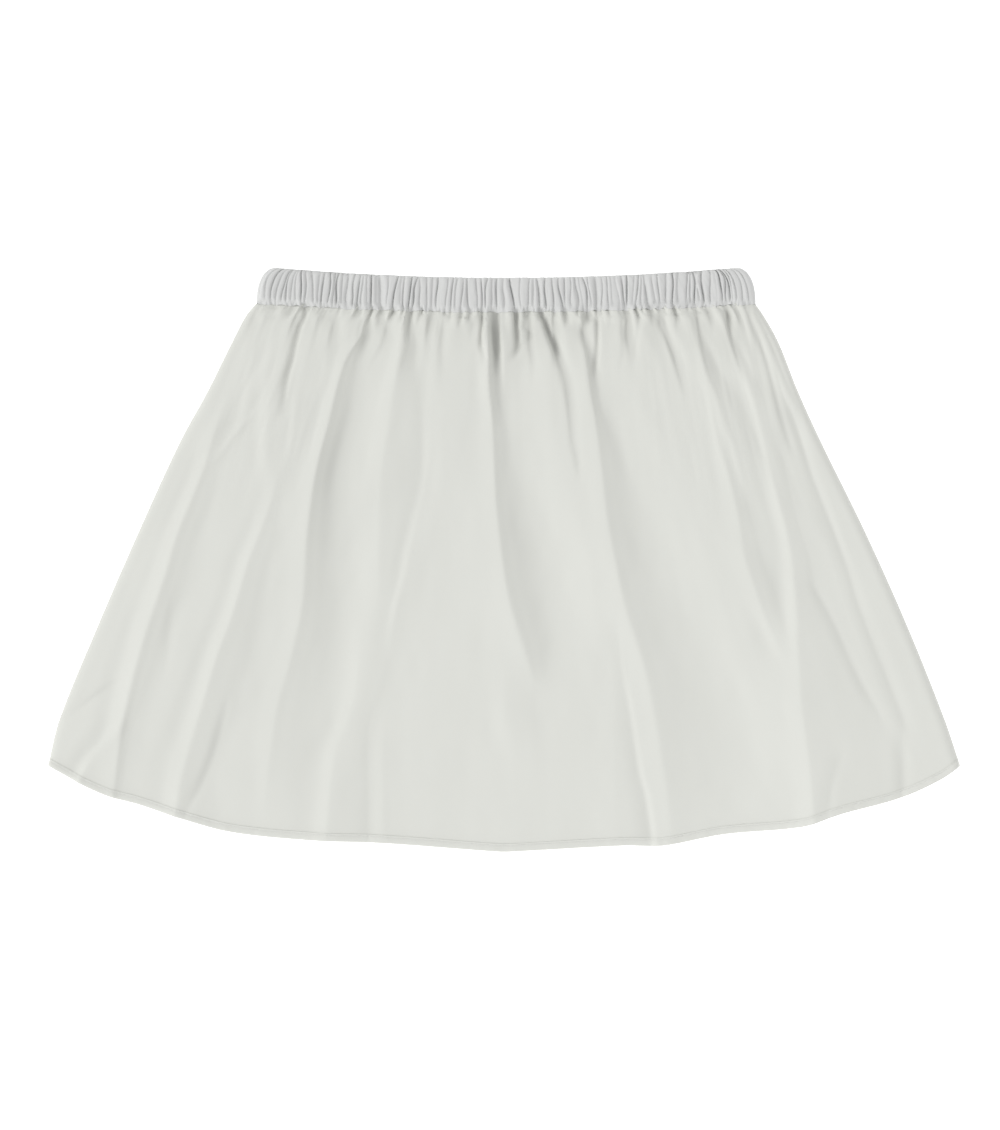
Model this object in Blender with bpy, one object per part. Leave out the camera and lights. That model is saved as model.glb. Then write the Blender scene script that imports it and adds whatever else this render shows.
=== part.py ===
"""Gathered elastic-waist mini skirt, laid flat.

The skirt lies on its back on the plane Z = 0, waist towards +Y, hem towards -Y, front upwards.
Its two flared panels lie on each other and meet at the side seams; the two halves of the gathered
waistband lie on each other above them, and a turned hem closes the lower edge of each panel.

Lengths in the tables and functions are millimetres. Every cloth wall is made from the same two maps:
a plan map from (across, down) to (x, y), and a height for its underside. "across" runs from -1 at the
left side seam to +1 at the right one, and "down" from 0 at the waist seam to 1 at the hem's edge.
"""

import math
from bisect import bisect_right

import bmesh
import bpy

MM = 0.001

# Driving dimensions
SEAM_GAP = 0.3
PANEL_WALL = 1.2
HEM_WALL = 1.8
HEM_DEPTH = 5.6
BAND_WALL = 2.1
BAND_HEIGHT = 24.4
BAND_HALF_WIDTH = 175.0
BAND_CORNER = 12.0
BAND_GATHERS = 57
BAND_GATHER_RISE = 0.9
WAIST_SEAM_Y = 172.6
WAIST_SEAM_BOW = 6.0
TOP_EDGE_EXTRA_BOW = 1.0
CENTRE_LENGTH = 376.6

# How high the front stands over the back, and over which shares of the half width and of the length
FRONT_CROWN = 3.8
WAIST_CROWN = 2.0
CROWN_RISE_SHARE = 0.06
CROWN_EDGE_SHARE = 0.05
FLAT_EDGE_SHARE = 0.04
CREST_ROUNDING = 1.5
SEAM_FOLD_SHARE = 0.4
FOLD_RISE_SHARE = 0.045
VALLEY_SOFTNESS = 1.0
GATHER_RISE = 1.0
GATHER_SHARE = 0.08
HEM_STACK_START = 0.9
HEM_STACK_SHARE = 0.08
RIDGE_RISE_SHARE = 0.15
BAND_END_SHARE = 0.05
BAND_END_WALL_SHARE = 0.6
BAND_LEAN = 1.5

# Mesh densities: cells across and down each wall
FRONT_CELLS = (72, 16)
BACK_CELLS = (36, 10)
BAND_ROWS = 2

# Half width of the skirt along each side seam, as (share of the way down, half width)
LEFT_SIDE = [(0.0, 174.0), (0.025, 180.6), (0.08, 189.9), (0.19, 207.6), (0.3, 227.0), (0.5, 256.6),
             (0.7, 284.6), (0.9, 311.0), (1.0, 319.0)]
RIGHT_SIDE = [(0.0, 176.0), (0.025, 181.6), (0.08, 191.6), (0.19, 205.8), (0.3, 222.0), (0.5, 253.6),
              (0.7, 282.4), (0.9, 308.2), (1.0, 319.0)]

# The hem's edge, as (x, y)
HEM_LINE = [(-319, -144), (-297, -156), (-277, -165), (-255, -171), (-226, -180.5), (-192, -190),
            (-141, -195.6), (-85, -198), (-4, -204), (4, -204), (83, -199.8), (110, -199.8),
            (153, -192), (207, -186.5), (235, -177.5), (277, -166.3), (305, -153.6), (319, -144)]

# The front panel's largest folds, each a crest that runs down the panel or, below 0, a valley.
# Shapes are (fade to the left, fade to the right, share sunk below the left side, distance to climb back).
# A fade of 1 keeps a side a flat plane as far as its reach, and a larger one lets it level out.
# Stations are (y, x, height, reach to the left, reach to the right).
FOLDS = {
    "left_flap": ((2, 2, 0, 1), [
        (122, -189, 0, 8, 4), (65, -209, 1.7, 14, 10), (15, -229, 2.7, 22, 16), (-40, -246.5, 2.8, 24, 15),
        (-100, -263, 2.8, 20, 11), (-165, -273, 1.2, 14, 6)]),
    "left_outer": ((2, 1.5, 0, 1), [
        (62, -158, 0, 10, 4), (20, -170, 1.6, 12, 10), (-20, -184, 2.7, 14, 17), (-65, -199.5, 3.2, 16, 22),
        (-130, -219, 3.3, 22, 22), (-192, -230, 3, 20, 28)]),
    "left_deep": ((2, 1.5, 0.5, 28), [
        (178, -96, 2.5, 8, 4.5), (158, -99, 3.7, 8, 5.6), (138, -111.5, 5.2, 12, 8.4),
        (100, -121.5, 6.4, 16, 10.6), (60, -132, 7.3, 20, 13.4), (20, -137.5, 7.3, 26, 18),
        (-20, -140, 5.7, 28, 19), (-60, -147, 4.7, 24, 20), (-100, -158, 3.9, 20, 22),
        (-140, -164, 2.5, 16, 22), (-185, -167, 0.3, 14, 22)]),
    "left_inner": ((2, 1.2, 0.35, 16), [
        (178, -69, 3.6, 8, 4), (135, -74, 3.1, 12, 11), (100, -80, 2.8, 26, 21), (45, -87, 2.9, 32, 26),
        (10, -88, 1.6, 26, 15), (-30, -88, 0, 20, 8)]),
    "inner_hem": ((2, 1, 0, 1), [
        (-35, -99, 0, 14, 16), (-90, -103, 1.4, 18, 18), (-130, -116, 2.2, 20, 19), (-199, -124, 3, 22, 28)]),
    "centre": ((2, 1.8, 0.5, 34), [
        (178, -11.5, 6.2, 7, 8.6), (140, -11, 5.9, 10, 8.6), (105, -9, 3.9, 14, 7), (60, -7, 4.3, 26, 15.6),
        (20, -4, 6.2, 36, 23), (-20, 1.5, 6.4, 38, 26), (-60, 13, 3.9, 32, 18), (-92, 22, 0, 20, 10)]),
    "right_deep": ((2, 1.75, 0.4, 34), [
        (178, 52, 0.7, 8, 4.3), (120, 60, 2.4, 16, 5.4), (80, 65.5, 3.6, 26, 13.7), (40, 70, 5, 30, 22),
        (0, 77, 5.6, 34, 27), (-60, 93, 5.3, 36, 32), (-120, 107, 4.5, 32, 40), (-160, 113, 3.3, 28, 36),
        (-202, 117, 2.2, 24, 31)]),
    "right_first": ((2, 1.3, 0.3, 20), [
        (152, 136.5, 0.8, 10, 4), (115, 147.5, 2.4, 16, 13), (80, 159, 2.4, 18, 18), (30, 168, 0, 14, 14)]),
    "right_inner": ((2, 1.3, 0, 1), [
        (122, 142, 0, 5, 3), (60, 156, 1, 10, 6), (0, 168, 1.7, 18, 12), (-72, 195, 0, 10, 8)]),
    "right_outer": ((2, 1.15, 0, 1), [
        (152, 160, 0.6, 8, 3), (100, 177, 1.5, 10, 9), (20, 197, 1.6, 10, 9), (-20, 202.5, 2.8, 14, 14),
        (-60, 204.5, 4.2, 22, 33), (-100, 207, 5.2, 28, 50), (-150, 213.5, 5.6, 26, 63), (-187, 216, 5.4, 24, 62)]),
    "right_flap": ((1.5, 2, 0, 1), [
        (160, 174, -0.3, 6, 4.5), (100, 202, -1.4, 13, 7.5), (42, 221, -1.1, 11, 7.5),
        (-10, 240.5, -0.9, 9, 7.5), (-80, 266, -0.9, 8, 12), (-134, 284, 0, 6, 8)]),
    "right_hem_edge": ((1.3, 2, 0, 1), [
        (-104, 277, 0, 6, 5), (-145, 278, -1.4, 8, 8), (-168, 278, -1.6, 8, 8)]),
}

# The back panel's ridges, as (across, sway, height, reach), all shallow
BACK_RIDGES = [(-0.74, 0.02, 1.6, 9.0), (-0.47, -0.03, 2.2, 11.0), (0.22, 0.02, 2.0, 10.0),
               (0.5, 0.03, 2.4, 12.0), (0.79, -0.02, 1.5, 9.0)]

PANEL_COLOUR = (0.71, 0.715, 0.69, 1.0)
HEM_COLOUR = (0.69, 0.695, 0.67, 1.0)
BAND_COLOUR = (0.62, 0.625, 0.62, 1.0)


def ease(value):
    """Rise smoothly from 0 to 1 as value goes from 0 to 1."""
    value = min(max(value, 0.0), 1.0)
    return value * value * (3.0 - 2.0 * value)


def curve(points, at):
    """Read a smooth curve through (input, output) points, held level past its ends."""
    inputs = [point[0] for point in points]
    if at <= inputs[0]:
        return points[0][1]
    if at >= inputs[-1]:
        return points[-1][1]
    index = bisect_right(inputs, at) - 1

    def slope(i):
        low, high = max(i - 1, 0), min(i + 1, len(points) - 1)
        return (points[high][1] - points[low][1]) / (points[high][0] - points[low][0])

    (x0, y0), (x1, y1) = points[index], points[index + 1]
    span = x1 - x0
    u = (at - x0) / span
    return ((1 + 2 * u) * (1 - u) ** 2 * y0 + u * (1 - u) ** 2 * span * slope(index)
            + u * u * (3 - 2 * u) * y1 + u * u * (u - 1) * span * slope(index + 1))


def columns_of(stations):
    """Turn a fold's stations, top to bottom, into curves over rising y: x, height and the two reaches."""
    rising = sorted(stations)
    return [[(station[0], station[column]) for station in rising] for column in range(1, 5)]


FOLD_CURVES = {name: (shape, columns_of(stations)) for name, (shape, stations) in FOLDS.items()}


def seam_y(across):
    """Give the waist seam's y, which dips in the middle."""
    return WAIST_SEAM_Y + WAIST_SEAM_BOW * across * across


def skirt_plan(across, down):
    """Map (across, down) on a panel to (x, y)."""
    side = LEFT_SIDE if across < 0 else RIGHT_SIDE
    half_width = curve(side, down)
    hem_y = curve(HEM_LINE, across * curve(side, 1.0))
    return across * half_width, (1 - down) * seam_y(across) + down * hem_y


def folds(x, y):
    """Sum the heights of the front folds at a point of the plan."""
    total = 0.0
    for (fade_left, fade_right, sink, climb), (path, heights, lefts, rights) in FOLD_CURVES.values():
        offset = x - curve(path, y)
        height = curve(heights, y)
        away = math.hypot(offset, CREST_ROUNDING) - CREST_ROUNDING
        reach = curve(lefts if offset < 0 else rights, y)
        fall = max(1.0 - away / reach, 0.0) ** (fade_left if offset < 0 else fade_right)
        if offset < 0:
            total += height * (1.0 - sink) * fall
        else:
            total += height * (fall - sink * max(1.0 - max(away - reach, 0.0) / climb, 0.0) ** 2)
    return total


def back_underside(across, down):
    """Height of the back panel's underside: 0 where it rests, with a few shallow ridges."""
    x, _ = skirt_plan(across, down)
    rise = 0.0
    for centre, sway, height, reach in BACK_RIDGES:
        ridge_x, _ = skirt_plan(centre + sway * math.sin(3.0 * down), down)
        distance = abs(x - ridge_x) / reach
        rise = max(rise, height * ease(1.0 - distance) * ease(down / RIDGE_RISE_SHARE))
    return rise


def crown(across, down):
    """Height by which the front stands over the back between its folds."""
    lengthwise = WAIST_CROWN + (FRONT_CROWN - WAIST_CROWN) * ease(down / CROWN_RISE_SHARE)
    return lengthwise * ease((1.0 - abs(across)) / CROWN_EDGE_SHARE)


def gathers(across, down):
    """Small gathers below the waist seam, one crest on every second column of the front's grid."""
    column = round((across + 1.0) / 2.0 * FRONT_CELLS[0])
    sign = 1.0 if column % 2 else -1.0
    fade = ease((1.0 - abs(across)) / CROWN_EDGE_SHARE) * math.exp(-(down / GATHER_SHARE) ** 2)
    return sign * GATHER_RISE * fade


def front_underside(across, down):
    """Height of the front panel's underside over Z = 0."""
    x, y = skirt_plan(across, down)
    grown = SEAM_FOLD_SHARE + (1.0 - SEAM_FOLD_SHARE) * ease(down / FOLD_RISE_SHARE)
    relief = crown(across, down) + folds(x, y) * grown + gathers(across, down)
    relief = 0.5 * (relief + math.hypot(relief, VALLEY_SOFTNESS))
    relief *= ease((1.0 - abs(across)) / FLAT_EDGE_SHARE)
    thicker_hem = (HEM_WALL - PANEL_WALL) * ease((down - HEM_STACK_START) / HEM_STACK_SHARE)
    return back_underside(across, down) + PANEL_WALL + SEAM_GAP + thicker_hem + relief


def band_plan(across, up):
    """Map (across, up) on the waistband to (x, y), with its upper corners rounded off."""
    half_width = BAND_HALF_WIDTH - BAND_CORNER * up ** 3
    lean = -BAND_LEAN * up * math.sin(math.pi * across)
    height = BAND_HEIGHT + TOP_EDGE_EXTRA_BOW * across * across
    return across * half_width + lean, seam_y(across) + SEAM_GAP / 2 + height * up


def plain_band(across, up):
    """Thickness of the back half of the waistband, which is pressed flat between front half and floor."""
    return BAND_WALL


def gathered_band(across, up):
    """Thickness of the front half of the waistband, with a crest on every second column of its grid."""
    column = round((across + 1.0) * BAND_GATHERS)
    crest = BAND_GATHER_RISE if column % 2 else 0.0
    end = ease((1.0 - abs(across)) / BAND_END_SHARE)
    uneven = 0.7 + 0.3 * math.sin(2.3 * column) * math.sin(3.1 * up + column)
    wall = BAND_WALL * (BAND_END_WALL_SHARE + (1.0 - BAND_END_WALL_SHARE) * end)
    return wall + crest * uneven * end


def make_material(name, colour):
    """Make a matte cloth material."""
    material = bpy.data.materials.new(name)
    material.use_nodes = True
    shader = material.node_tree.nodes["Principled BSDF"]
    shader.inputs["Base Color"].default_value = colour
    shader.inputs["Roughness"].default_value = 0.85
    shader.inputs["Metallic"].default_value = 0.0
    return material


def make_wall(name, cells, plan, underside, thickness, material):
    """Make one closed cloth wall from a grid.

    plan, underside and thickness take (first, second), each from the grid: first runs -1 to 1 over
    cells[0] cells and second 0 to 1 over cells[1] cells.
    """
    mesh = bmesh.new()
    bmesh.ops.create_grid(mesh, x_segments=cells[0], y_segments=cells[1], size=1.0)
    raised = bmesh.ops.extrude_face_region(mesh, geom=mesh.faces[:])
    upper = {item for item in raised["geom"] if isinstance(item, bmesh.types.BMVert)}
    for vertex in mesh.verts:
        first, second = vertex.co.x, (vertex.co.y + 1.0) / 2.0
        x, y = plan(first, second)
        z = underside(first, second)
        if vertex in upper:
            z += thickness(first, second)
        vertex.co = (x * MM, y * MM, z * MM)
    bmesh.ops.triangulate(mesh, faces=mesh.faces[:])
    bmesh.ops.recalc_face_normals(mesh, faces=mesh.faces[:])
    data = bpy.data.meshes.new(name)
    mesh.to_mesh(data)
    mesh.free()
    data.materials.append(material)
    data.shade_smooth()
    piece = bpy.data.objects.new(name, data)
    bpy.context.scene.collection.objects.link(piece)
    return piece


def sloped(underside, wall):
    """Give a wall's upright thickness, so that it keeps its true thickness where the cloth is steep."""
    step = 0.004
    steepest = 0.7

    def thickness(across, down):
        left, right = max(across - step, -1.0), min(across + step, 1.0)
        rise = underside(right, down) - underside(left, down)
        run = skirt_plan(right, down)[0] - skirt_plan(left, down)[0]
        return wall * math.hypot(1.0, min(abs(rise / run), steepest))

    return thickness


def make_panel(name, cells, underside, material):
    """Make a panel from the waist seam down to its hem, with its rows closer together at the waist."""
    start = SEAM_GAP / 2 / CENTRE_LENGTH
    end = 1.0 - (HEM_DEPTH + SEAM_GAP) / CENTRE_LENGTH
    row_crowding = 1.3
    wall = sloped(underside, PANEL_WALL)

    def down(second):
        return start + (end - start) * second ** row_crowding

    return make_wall(name, cells, lambda a, b: skirt_plan(a, down(b)), lambda a, b: underside(a, down(b)),
                     lambda a, b: wall(a, down(b)), material)


def make_hem(name, columns, underside, material):
    """Make the turned hem along a panel's lower edge."""
    start = 1.0 - HEM_DEPTH / CENTRE_LENGTH

    def down(second):
        return start + (1.0 - start) * second

    return make_wall(name, (columns, 1), lambda a, b: skirt_plan(a, down(b)),
                     lambda a, b: underside(a, down(b)), lambda a, b: HEM_WALL, material)


def make_band(name, columns, base, thickness, material):
    """Make one half of the gathered waistband, with its underside at the height base."""
    return make_wall(name, (columns, BAND_ROWS), band_plan, lambda a, b: base, thickness, material)


def main():
    """Clear the scene and build the skirt's six pieces."""
    for item in list(bpy.data.objects):
        bpy.data.objects.remove(item, do_unlink=True)
    panel_cloth = make_material("panel_cloth", PANEL_COLOUR)
    hem_cloth = make_material("hem_cloth", HEM_COLOUR)
    band_cloth = make_material("band_cloth", BAND_COLOUR)
    make_panel("back_panel", BACK_CELLS, back_underside, panel_cloth)
    make_hem("hem_back", BACK_CELLS[0], back_underside, hem_cloth)
    make_band("waistband_back", BAND_GATHERS, 0.0, plain_band, band_cloth)
    make_panel("front_panel", FRONT_CELLS, front_underside, panel_cloth)
    make_hem("hem_front", FRONT_CELLS[0], front_underside, hem_cloth)
    make_band("waistband_front", 2 * BAND_GATHERS, BAND_WALL + SEAM_GAP, gathered_band, band_cloth)


main()
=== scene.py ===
"""The looks of a gathered elastic-waist mini skirt that lies flat, front upwards.

The skirt lies on the plane Z = 0 with its waist towards +Y. Sizes inside the classes are millimetres in
the frame's own axes, and a mesh is written in metres only when it is made. A point of a panel is named
by (across, down): across runs from -1 at the left side seam to +1 at the right one, and down from 0 at
the waist seam to 1 at the hem's edge. A point of the waistband is named by (across, up).
"""

import logging
import math
from dataclasses import dataclass
from enum import Enum
from typing import Sequence

import bmesh
import bpy
import numpy as np
from mathutils import Matrix, Vector


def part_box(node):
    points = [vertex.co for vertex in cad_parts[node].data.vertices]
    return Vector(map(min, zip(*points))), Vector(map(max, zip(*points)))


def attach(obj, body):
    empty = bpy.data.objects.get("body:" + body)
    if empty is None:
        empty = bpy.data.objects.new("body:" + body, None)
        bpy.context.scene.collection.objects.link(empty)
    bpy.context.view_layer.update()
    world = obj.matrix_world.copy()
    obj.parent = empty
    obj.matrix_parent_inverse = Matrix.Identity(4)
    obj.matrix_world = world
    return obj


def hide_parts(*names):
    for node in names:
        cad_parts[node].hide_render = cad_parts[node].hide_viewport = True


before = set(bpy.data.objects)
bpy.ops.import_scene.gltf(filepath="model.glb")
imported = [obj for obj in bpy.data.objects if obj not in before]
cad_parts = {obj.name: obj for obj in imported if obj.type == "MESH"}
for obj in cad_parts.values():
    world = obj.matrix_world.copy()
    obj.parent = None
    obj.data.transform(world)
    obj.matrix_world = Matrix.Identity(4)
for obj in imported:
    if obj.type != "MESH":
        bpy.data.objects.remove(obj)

LOG = logging.getLogger("skirt")
MM = 0.001
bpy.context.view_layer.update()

Points = Sequence[tuple[float, ...]]
Array = np.ndarray


# ----------------------------------------------------------------------------------------------------
# Small curves and fields that the cloth's forms are written with
# ----------------------------------------------------------------------------------------------------

def ease(value: Array) -> Array:
    """Rise smoothly from 0 to 1 as value goes from 0 to 1."""
    held = np.clip(value, 0.0, 1.0)
    return held * held * (3.0 - 2.0 * held)


def bump(offset: Array, left: Array, right: Array) -> Array:
    """Give a smooth hill of height 1 at offset 0.

    Args:
        offset: Signed distance from the hill's line.
        left: Reach on the negative side.
        right: Reach on the positive side.

    Returns:
        The hill's height, from 0 to 1.
    """
    reach = np.where(offset < 0.0, left, right)
    return np.exp(-(offset / reach) ** 2)


def curve(points: Points, at: Array, column: int = 1) -> Array:
    """Read a smooth curve through given points, held level past its ends.

    Args:
        points: Rows whose first value is the input, in either order.
        at: Inputs to read the curve at.
        column: Which value of each row the curve runs through.

    Returns:
        The curve's values, shaped as at.
    """
    table = np.array(sorted(points), dtype=float)
    inputs, outputs = table[:, 0], table[:, column]
    before = np.maximum(np.arange(len(inputs)) - 1, 0)
    after = np.minimum(np.arange(len(inputs)) + 1, len(inputs) - 1)
    slopes = (outputs[after] - outputs[before]) / (inputs[after] - inputs[before])
    index = np.clip(np.searchsorted(inputs, at, side="right") - 1, 0, len(inputs) - 2)
    span = inputs[index + 1] - inputs[index]
    u = np.clip((at - inputs[index]) / span, 0.0, 1.0)
    near = (1 + 2 * u) * (1 - u) ** 2 * outputs[index] + u * (1 - u) ** 2 * span * slopes[index]
    far = u * u * (3 - 2 * u) * outputs[index + 1] + u * u * (u - 1) * span * slopes[index + 1]
    return near + far


def soft_noise(across: Array, down: Array, cells: tuple[int, int], seed: int) -> Array:
    """Make a smooth random field over a panel.

    Args:
        across: Places from -1 to 1.
        down: Places from 0 to 1.
        cells: How many humps and hollows the field has room for across and down.
        seed: Seed of the random heights.

    Returns:
        Heights from about -1 to 1, shaped as across.
    """
    lattice = np.random.default_rng(seed).uniform(-1.0, 1.0, (cells[1] + 2, cells[0] + 2))
    u = np.clip((across + 1.0) / 2.0, 0.0, 1.0) * cells[0]
    v = np.clip(down, 0.0, 1.0) * cells[1]
    column, row = np.floor(u).astype(int), np.floor(v).astype(int)
    right, lower = ease(u - column), ease(v - row)
    near = lattice[row, column] * (1 - right) + lattice[row, column + 1] * right
    far = lattice[row + 1, column] * (1 - right) + lattice[row + 1, column + 1] * right
    return near * (1 - lower) + far * lower


def hollows(z: Array, reach: int, full: float) -> Array:
    """Find how deep each point of a fine grid lies in a crease.

    Args:
        z: Heights in mm, whose columns are evenly spaced.
        reach: How many columns to each side a point is compared with.
        full: The depth in mm that counts as 1.

    Returns:
        Values from 0, on open cloth, to 1, in the deepest creases.
    """
    padded = np.pad(z, ((0, 0), (reach + 1, reach)), mode="edge")
    run = np.cumsum(padded, axis=1)
    around = (run[:, 2 * reach + 1:] - run[:, :-2 * reach - 1]) / (2 * reach + 1)
    return np.clip((around - z) / full, 0.0, 1.0)


def grid_places(spacings: Points) -> Array:
    """Lay out rows whose spacing changes along the way.

    Args:
        spacings: Stretches as (where the stretch ends, spacing of its rows), both in mm.

    Returns:
        The rows' distances from the start, in mm.
    """
    places = [0.0]
    for end, spacing in spacings:
        count = max(round((end - places[-1]) / spacing), 1)
        places.extend(np.linspace(places[-1], end, count + 1)[1:])
    return np.array(places)


# ----------------------------------------------------------------------------------------------------
# The plan
# ----------------------------------------------------------------------------------------------------

@dataclass(frozen=True)
class Outline:
    """The skirt's plan as it lies: side seams, waist seam and hem, and the waistband's plan."""

    hem_half: float
    waist_y: float
    waist_bow: float = 6.0
    top_extra_bow: float = 1.0
    band_half: float = 175.0
    band_left: float = 173.2
    band_right: float = 176.0
    band_height: float = 24.4
    band_corner: float = 13.0
    seam_gap: float = 0.3
    length: float = 376.6
    left_side: Points = (
        (0.0, 174.0), (0.025, 180.6), (0.08, 189.9), (0.19, 207.6), (0.3, 227.0), (0.5, 256.6), (0.7, 284.6),
        (0.9, 311.0), (1.0, 319.0),
    )
    right_side: Points = (
        (0.0, 176.0), (0.025, 181.6), (0.08, 191.6), (0.19, 205.8), (0.3, 222.0), (0.5, 253.6), (0.7, 282.4),
        (0.9, 308.2), (1.0, 319.0),
    )
    hem_line: Points = (
        (-319, -144), (-297, -156), (-277, -165), (-255, -171), (-226, -180.5), (-192, -190), (-141, -195.6),
        (-85, -198), (-4, -204), (4, -204), (83, -199.8), (110, -199.8), (153, -192), (207, -186.5), (235, -177.5),
        (277, -166.3), (305, -153.6), (319, -144),
    )

    def half_width(self, across: Array, down: Array) -> Array:
        """Give the half width at a height, on the side that across lies on."""
        return np.where(across < 0.0, curve(self.left_side, down), curve(self.right_side, down))

    def seam_y(self, across: Array) -> Array:
        """Give the waist seam's y, which dips in the middle."""
        return self.waist_y + self.waist_bow * across * across

    def skirt(self, across: Array, down: Array) -> tuple[Array, Array]:
        """Map a panel's (across, down) to the plan's (x, y)."""
        x = across * self.half_width(across, down)
        hem_y = curve(self.hem_line, across * self.hem_half)
        return x, (1.0 - down) * self.seam_y(across) + down * hem_y

    def band(self, across: Array, up: Array) -> tuple[Array, Array]:
        """Map the waistband's (across, up) to the plan's (x, y), with its upper corners rounded."""
        corner = 1.0 - np.sqrt(np.maximum(1.0 - np.clip(up, 0.0, 1.0) ** 2.4, 0.0))
        x = across * (np.where(across < 0.0, self.band_left, self.band_right) - self.band_corner * corner)
        height = self.band_height + self.top_extra_bow * across * across
        wave = 0.75 * soft_noise(across, 0.0 * up, (125, 1), 51) * np.clip(1.0 - 3.0 * up, 0.0, 1.0)
        return x, self.seam_y(across) + self.seam_gap / 2.0 + height * up + wave


def outline_of_frame() -> Outline:
    """Take the outline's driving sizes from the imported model."""
    hem_low, hem_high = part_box("hem_front")
    band_low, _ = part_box("waistband_front")
    return Outline(hem_half=(hem_high[0] - hem_low[0]) / 2.0 / MM, waist_y=band_low[1] / MM - 0.15)


# ----------------------------------------------------------------------------------------------------
# The folds of the front
# ----------------------------------------------------------------------------------------------------

@dataclass(frozen=True)
class Fold:
    """One crease down a panel: a crest that falls away to both sides or, with a height below 0, a valley.

    Stations are (y, x, height, reach to the left, reach to the right). The fall is steepest at the crease.
    A fade of 1 keeps a side a flat plane as far as its reach, and a larger one lets it level out. Sink is the
    share of the height that lies below the cloth on the left, and the cloth climbs back over recover.
    """

    name: str
    stations: Points
    fade: tuple[float, float] = (2.0, 2.0)
    rounding: float = 0.9
    sink: float = 0.0
    recover: float = 30.0

    def relief(self, x: Array, y: Array) -> Array:
        """Give the fold's height at points of the plan."""
        offset = x - curve(self.stations, y, 1)
        reach = np.where(offset < 0.0, curve(self.stations, y, 3), curve(self.stations, y, 4))
        power = np.where(offset < 0.0, self.fade[0], self.fade[1])
        away = np.sqrt(offset * offset + self.rounding ** 2) - self.rounding
        fall = np.clip(1.0 - away / reach, 0.0, 1.0) ** power
        climb = (1.0 - np.clip((away - reach) / self.recover, 0.0, 1.0) ** 2) ** 2
        sides = np.where(offset < 0.0, (1.0 - self.sink) * fall, fall - self.sink * climb)
        return curve(self.stations, y, 2) * sides


@dataclass(frozen=True)
class Furrow:
    """One narrow furrow that the gathering pulls in, with a small lip along its sharper side.

    Stations are (y, x, depth, reach to the left, reach to the right).
    """

    name: str
    stations: Points
    lip: float = 0.05

    def relief(self, x: Array, y: Array) -> Array:
        """Give the furrow's height at points of the plan, below 0 along its line."""
        offset = x - curve(self.stations, y, 1)
        depth = curve(self.stations, y, 2)
        left, right = curve(self.stations, y, 3), curve(self.stations, y, 4)
        beside = np.where(left <= right, offset + 2.2 * left, right * 2.2 - offset)
        narrow = np.minimum(left, right) + 1.0
        return depth * (self.lip * bump(beside, narrow, narrow) - bump(offset, left, right))


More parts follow.
